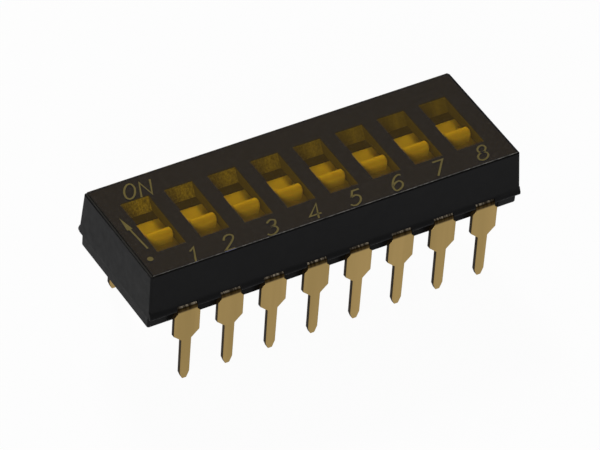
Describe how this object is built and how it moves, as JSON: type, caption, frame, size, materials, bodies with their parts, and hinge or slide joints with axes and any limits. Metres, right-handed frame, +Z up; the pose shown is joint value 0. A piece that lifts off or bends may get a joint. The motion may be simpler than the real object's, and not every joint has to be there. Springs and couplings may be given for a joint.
{
  "type": "dip switch",
  "caption": "Through-hole dual in-line slide switch: black moulded body, amber tape seal over recessed sliders, two rows of shouldered gold terminals.",
  "frame": {"origin": "under the middle of the body, level with the terminal tips", "axes": "+X along the row of poles in counting order, +Y from OFF to ON, +Z up out of the roof"},
  "size_m": [0.0222, 0.0078, 0.0076],
  "materials": {
    "black_moulding": "fine matt moulded black thermoplastic",
    "base_moulding": "satin moulded black thermoplastic",
    "amber_film": "thin translucent amber polyimide film",
    "slider_moulding": "smooth off-white moulded nylon",
    "gold_contact": "gold-plated spring copper alloy",
    "gold_terminal": "satin gold-plated stamped brass"
  },
  "bodies": {
    "housing": {"cover": "black_moulding", "base": "base_moulding", "tape_seal": "amber_film", "terminal_1": "gold_terminal", "terminal_2": "gold_terminal", "terminal_3": "gold_terminal", "terminal_4": "gold_terminal", "terminal_5": "gold_terminal", "terminal_6": "gold_terminal", "terminal_7": "gold_terminal", "terminal_8": "gold_terminal", "terminal_9": "gold_terminal", "terminal_10": "gold_terminal", "terminal_11": "gold_terminal", "terminal_12": "gold_terminal", "terminal_13": "gold_terminal", "terminal_14": "gold_terminal", "terminal_15": "gold_terminal", "terminal_16": "gold_terminal"},
    "switch_1": {"slider_1": "slider_moulding", "moving_contact_1": "gold_contact"},
    "switch_2": {"slider_2": "slider_moulding", "moving_contact_2": "gold_contact"},
    "switch_3": {"slider_3": "slider_moulding", "moving_contact_3": "gold_contact"},
    "switch_4": {"slider_4": "slider_moulding", "moving_contact_4": "gold_contact"},
    "switch_5": {"slider_5": "slider_moulding", "moving_contact_5": "gold_contact"},
    "switch_6": {"slider_6": "slider_moulding", "moving_contact_6": "gold_contact"},
    "switch_7": {"slider_7": "slider_moulding", "moving_contact_7": "gold_contact"},
    "switch_8": {"slider_8": "slider_moulding", "moving_contact_8": "gold_contact"}
  },
  "joints": [
    {"name": "slide_1", "type": "slide", "parent": "housing", "child": "switch_1", "axis": [0, 1, 0], "range_m": [0, 0.0012]},
    {"name": "slide_2", "type": "slide", "parent": "housing", "child": "switch_2", "axis": [0, 1, 0], "range_m": [0, 0.0012]},
    {"name": "slide_3", "type": "slide", "parent": "housing", "child": "switch_3", "axis": [0, 1, 0], "range_m": [0, 0.0012]},
    {"name": "slide_4", "type": "slide", "parent": "housing", "child": "switch_4", "axis": [0, 1, 0], "range_m": [0, 0.0012]},
    {"name": "slide_5", "type": "slide", "parent": "housing", "child": "switch_5", "axis": [0, 1, 0], "range_m": [0, 0.0012]},
    {"name": "slide_6", "type": "slide", "parent": "housing", "child": "switch_6", "axis": [0, 1, 0], "range_m": [0, 0.0012]},
    {"name": "slide_7", "type": "slide", "parent": "housing", "child": "switch_7", "axis": [0, 1, 0], "range_m": [0, 0.0012]},
    {"name": "slide_8", "type": "slide", "parent": "housing", "child": "switch_8", "axis": [0, 1, 0], "range_m": [0, 0.0012]}
  ]
}
